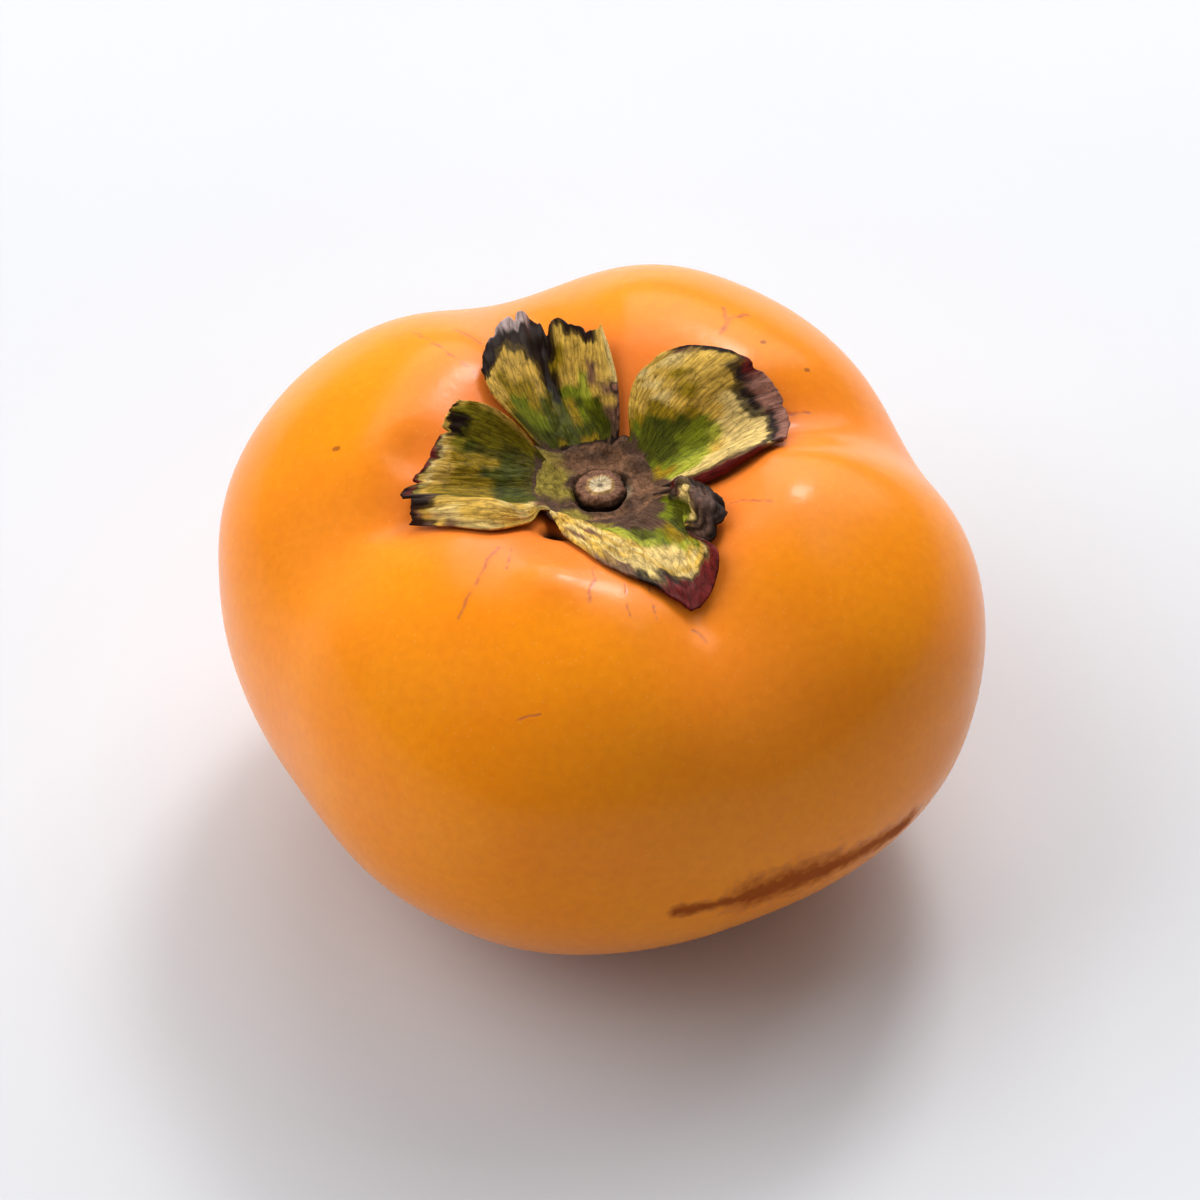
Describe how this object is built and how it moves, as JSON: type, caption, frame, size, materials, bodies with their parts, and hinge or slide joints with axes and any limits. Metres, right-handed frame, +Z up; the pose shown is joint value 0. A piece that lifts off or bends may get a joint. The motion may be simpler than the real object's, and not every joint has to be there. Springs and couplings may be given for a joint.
{
  "type": "persimmon",
  "caption": "Squat lobed persimmon with waxy orange skin, a sunken dried calyx of curled papery sepals and a short cut stalk",
  "frame": {"origin": "middle of the fruit's box, on the surface it rests on", "axes": "+Z up along the fruit's axis from the blossom end to the stalk; -Y is the side that carries the torn, rolled sepal"},
  "size_m": [0.0834, 0.085, 0.0542],
  "materials": {
    "skin": null,
    "dried_disc": null,
    "dried_leaf": null,
    "stalk": "dry brown stalk with a pale cut end, matt",
    "dry_tip": "dry dark brown, matt"
  },
  "bodies": {
    "root": {"fruit_body": "skin", "calyx_disc": "dried_disc", "sepal_right": "dried_leaf", "sepal_back": "dried_leaf", "sepal_left": "dried_leaf", "sepal_front": "dried_leaf", "stem_stub": "stalk", "style_remnant": "dry_tip"}
  },
  "joints": []
}
